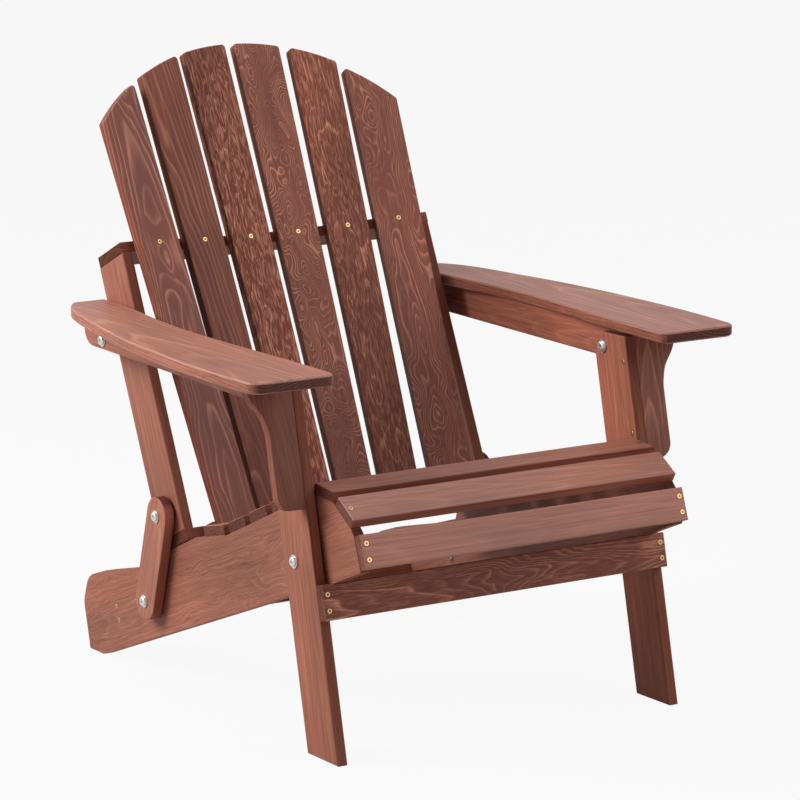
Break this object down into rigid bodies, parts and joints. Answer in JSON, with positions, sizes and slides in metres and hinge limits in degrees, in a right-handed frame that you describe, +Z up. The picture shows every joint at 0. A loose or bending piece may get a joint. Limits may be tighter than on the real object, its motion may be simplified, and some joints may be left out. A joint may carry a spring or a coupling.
{
  "type": "adirondack chair",
  "caption": "Folding adirondack chair of stained wood boards: fan back, slatted seat, wide armrests, and bolted pivots that let the legs, arms and back fold flat.",
  "frame": {"origin": "on the floor, under the middle of the chair's overall width and depth", "axes": "+X to the sitter's left, -Y the way the sitter faces, +Z up"},
  "size_m": [0.7652, 0.8002, 0.8638],
  "materials": {
    "stained_wood": "reddish-brown stain, matt",
    "steel": "zinc plated"
  },
  "bodies": {
    "seat": {"left_seat_rail": "stained_wood", "rear_stretcher": "stained_wood", "right_seat_rail": "stained_wood", "seat_front_apron": "stained_wood", "seat_nose_slat": "stained_wood", "seat_slat_1": "stained_wood", "seat_slat_2": "stained_wood", "seat_slat_3": "stained_wood", "seat_slat_4": "stained_wood", "seat_slat_5": "stained_wood", "seat_slat_6": "stained_wood"},
    "legs": {"front_stretcher": "stained_wood", "left_corbel": "stained_wood", "left_front_leg": "stained_wood", "leg_bolts": "steel", "leg_nuts": "steel", "leg_washers": "steel", "right_corbel": "stained_wood", "right_front_leg": "stained_wood"},
    "left_arm": {"left_arm_bolt": "steel", "left_arm_nut": "steel", "left_arm_rail": "stained_wood", "left_arm_spacer": "steel", "left_arm_washers": "steel", "left_armrest": "stained_wood", "left_back_bolt": "steel"},
    "right_arm": {"right_arm_bolt": "steel", "right_arm_nut": "steel", "right_arm_rail": "stained_wood", "right_arm_spacer": "steel", "right_arm_washers": "steel", "right_armrest": "stained_wood", "right_back_bolt": "steel"},
    "left_link": {"left_link": "stained_wood", "left_link_bolts": "steel", "left_link_nuts": "steel", "left_link_washers": "steel"},
    "right_link": {"right_link": "stained_wood", "right_link_bolts": "steel", "right_link_nuts": "steel", "right_link_washers": "steel"},
    "back": {"back_bottom_bar": "stained_wood", "back_pivot_inserts": "steel", "back_top_bar": "stained_wood", "left_back_post": "stained_wood", "left_inner_back_slat": "stained_wood", "left_middle_back_slat": "stained_wood", "left_outer_back_slat": "stained_wood", "right_back_post": "stained_wood", "right_inner_back_slat": "stained_wood", "right_middle_back_slat": "stained_wood", "right_outer_back_slat": "stained_wood"}
  },
  "joints": [
    {"name": "fold", "type": "hinge", "parent": "seat", "child": "legs", "pos_m": [0, -0.2491, 0.253], "axis": [1, 0, 0], "range_deg": [0, 76]},
    {"name": "left_arm_pivot", "type": "hinge", "parent": "legs", "child": "left_arm", "pos_m": [0.2805, -0.1959, 0.4755], "axis": [1, 0, 0], "range_deg": [-73.8, 0]},
    {"name": "right_arm_pivot", "type": "hinge", "parent": "legs", "child": "right_arm", "pos_m": [-0.2805, -0.1959, 0.4755], "axis": [1, 0, 0], "range_deg": [-73.8, 0]},
    {"name": "left_link_pivot", "type": "hinge", "parent": "seat", "child": "left_link", "pos_m": [0.2625, 0.17619, 0.1146], "axis": [1, 0, 0], "range_deg": [-33.1, 0]},
    {"name": "right_link_pivot", "type": "hinge", "parent": "seat", "child": "right_link", "pos_m": [-0.2625, 0.17619, 0.1146], "axis": [1, 0, 0], "range_deg": [-33.1, 0]},
    {"name": "back_pivot", "type": "hinge", "parent": "right_link", "child": "back", "pos_m": [-0.2445, 0.1347, 0.2434], "axis": [1, 0, 0], "range_deg": [0, 117.5]}
  ],
  "couplings": [
    {"joint": "left_arm_pivot", "follows": "fold", "ratio": -0.96925},
    {"joint": "right_arm_pivot", "follows": "fold", "ratio": -0.96925},
    {"joint": "left_link_pivot", "follows": "fold", "ratio": -0.43421},
    {"joint": "right_link_pivot", "follows": "fold", "ratio": -0.43421},
    {"joint": "back_pivot", "follows": "fold", "ratio": 1.5441}
  ]
}
